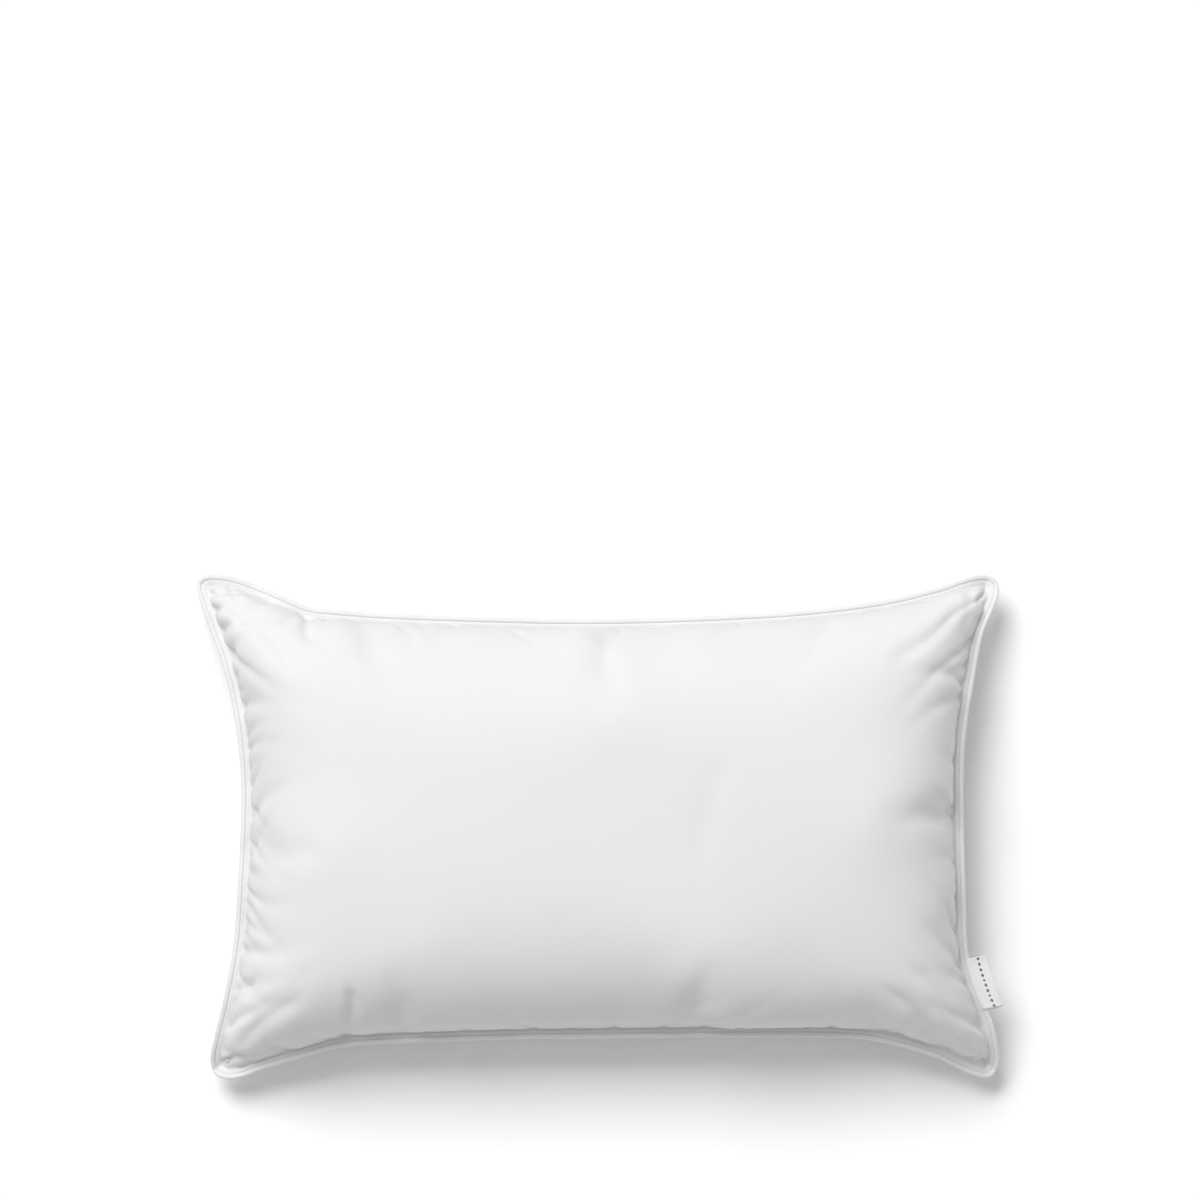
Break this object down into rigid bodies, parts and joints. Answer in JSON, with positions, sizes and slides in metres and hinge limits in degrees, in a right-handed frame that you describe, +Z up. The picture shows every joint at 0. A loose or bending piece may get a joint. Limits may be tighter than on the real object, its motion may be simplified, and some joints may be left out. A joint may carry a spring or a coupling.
{
  "type": "bed pillow",
  "caption": "Plump white bed pillow with piped edges, pinched corners, a loose down filling and a small folded side tag.",
  "frame": {"origin": "middle of the resting face, on the surface that the pillow lies on, below the middle of its length and width", "axes": "+X along the length, towards the end that carries the tag; +Y across the width, away from the tag's corner, so that the tag is at negative Y; +Z up, out of the surface that the pillow lies on"},
  "size_m": [0.7236, 0.4522, 0.203],
  "materials": {
    "cambric": "matte",
    "piping_cloth": "matte",
    "filler_cord": "matte",
    "sewing_thread": "satin",
    "down": "matte",
    "label_ribbon": "satin"
  },
  "bodies": {
    "pillow": {"top_panel": "cambric", "bottom_panel": "cambric", "down_fill": "down", "piping_sleeve": "piping_cloth", "piping_cord": "filler_cord", "seam_needle_thread": "sewing_thread", "seam_bobbin_thread": "sewing_thread", "edge_needle_thread": "sewing_thread", "edge_bobbin_thread": "sewing_thread", "closing_stitching": "sewing_thread"},
    "label": {"woven_label": "label_ribbon"}
  },
  "joints": [
    {"name": "label_flap", "type": "hinge", "parent": "pillow", "child": "label", "pos_m": [0.34021, -0.14173, 0.06897], "axis": [0.1813, -0.963, -0.1996], "range_deg": [0, 70]}
  ]
}
